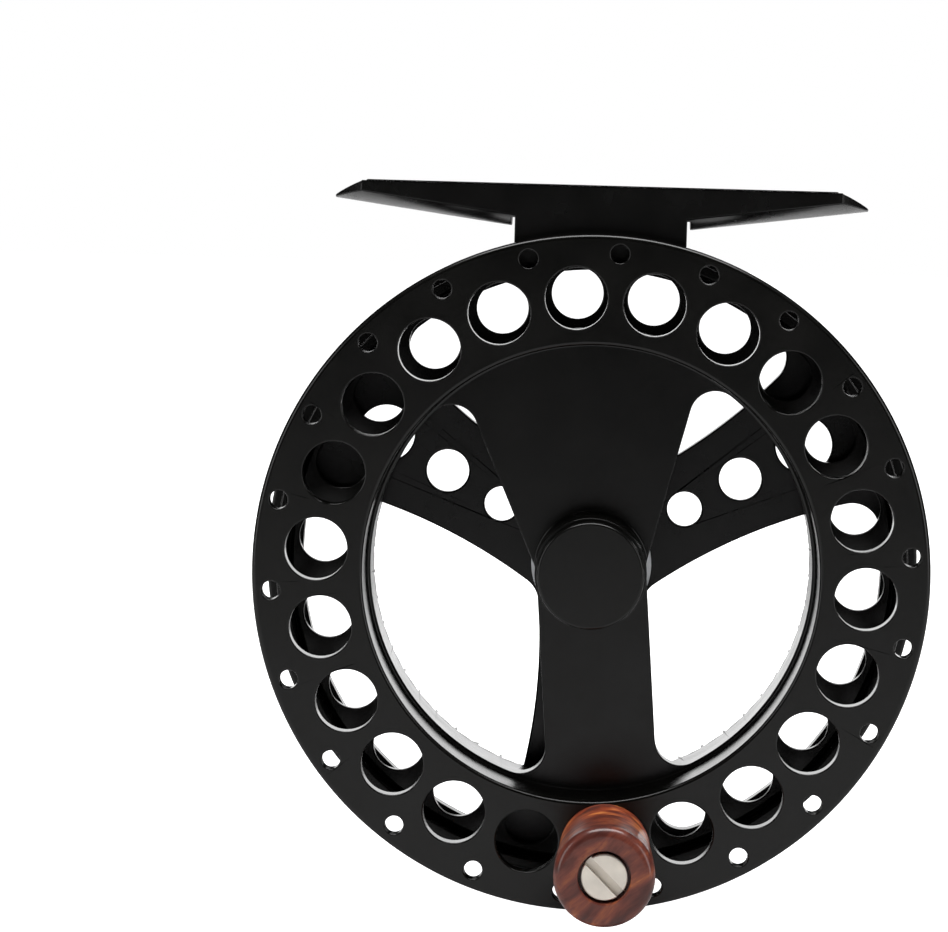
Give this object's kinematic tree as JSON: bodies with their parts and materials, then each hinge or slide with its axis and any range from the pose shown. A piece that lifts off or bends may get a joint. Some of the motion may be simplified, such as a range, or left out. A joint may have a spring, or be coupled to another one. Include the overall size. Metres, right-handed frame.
{
  "type": "fly reel",
  "caption": "Large-arbor fly reel: ported spool with a wooden handle knob, spoked one-sided frame, conical drag and a saddle foot for the rod's reel seat.",
  "frame": {"origin": "middle of the foot's saddle, on the line that lies against the rod's reel seat", "axes": "+X along the rod, +Y along the spool axis away from the handle, +Z from the spool axis towards the rod"},
  "size_m": [0.084, 0.0561, 0.0898],
  "materials": {
    "anodised_frame": "black anodised, satin",
    "anodised_spool": "black anodised, satin",
    "steel": "turned stainless",
    "bearing_steel": "ground bearing steel",
    "sleeve_metal": "machined, clear anodised",
    "drag_plastic": "acetal",
    "seal_rubber": "nitrile",
    "handle_wood": "oiled rosewood",
    "brass": "machined brass"
  },
  "bodies": {
    "frame": {"frame": "anodised_frame", "reel_foot": "anodised_frame", "foot_screws": "steel", "drag_cup": "sleeve_metal", "spring_washers": "bearing_steel"},
    "drag_knob": {"drag_knob": "anodised_spool", "knob_insert": "brass", "knob_cap": "anodised_spool"},
    "spindle": {"spindle": "steel", "spindle_washer": "steel", "spindle_nut": "steel", "rear_bearing_inner": "bearing_steel", "front_bearing_inner": "bearing_steel"},
    "sleeve": {"hub_sleeve": "sleeve_metal", "drag_cone": "drag_plastic", "clutch_shell": "bearing_steel", "clutch_rollers": "bearing_steel", "rear_bearing_balls": "bearing_steel", "rear_bearing_outer": "bearing_steel", "bearing_spacer": "sleeve_metal", "front_bearing_balls": "bearing_steel", "front_bearing_outer": "bearing_steel", "bearing_circlip": "bearing_steel", "spool_ring": "seal_rubber"},
    "spool": {"spool": "anodised_spool", "hub_cap": "anodised_spool", "cap_ring": "seal_rubber", "handle_screw": "steel", "handle_sleeve": "steel"},
    "handle": {"handle_knob": "handle_wood"}
  },
  "joints": [
    {"name": "drag_knob_turn", "type": "hinge", "parent": "frame", "child": "drag_knob", "pos_m": [0, 0, -0.0459], "axis": [0, -1, 0], "range_deg": [0, 330]},
    {"name": "drag_draw", "type": "slide", "parent": "frame", "child": "spindle", "axis": [0, 1, 0], "range_m": [0, 0.0004583]},
    {"name": "spool_spin", "type": "hinge", "parent": "spindle", "child": "sleeve", "pos_m": [0, 0, -0.0459], "axis": [0, -1, 0], "continuous": true},
    {"name": "spool_release", "type": "slide", "parent": "sleeve", "child": "spool", "axis": [0, -1, 0], "range_m": [0, 0.026]},
    {"name": "handle_spin", "type": "hinge", "parent": "spool", "child": "handle", "pos_m": [0.00274, 0, -0.07995], "axis": [0, -1, 0], "continuous": true}
  ],
  "couplings": [
    {"joint": "drag_knob_turn", "follows": "drag_draw", "rad_per_m": 12566}
  ]
}
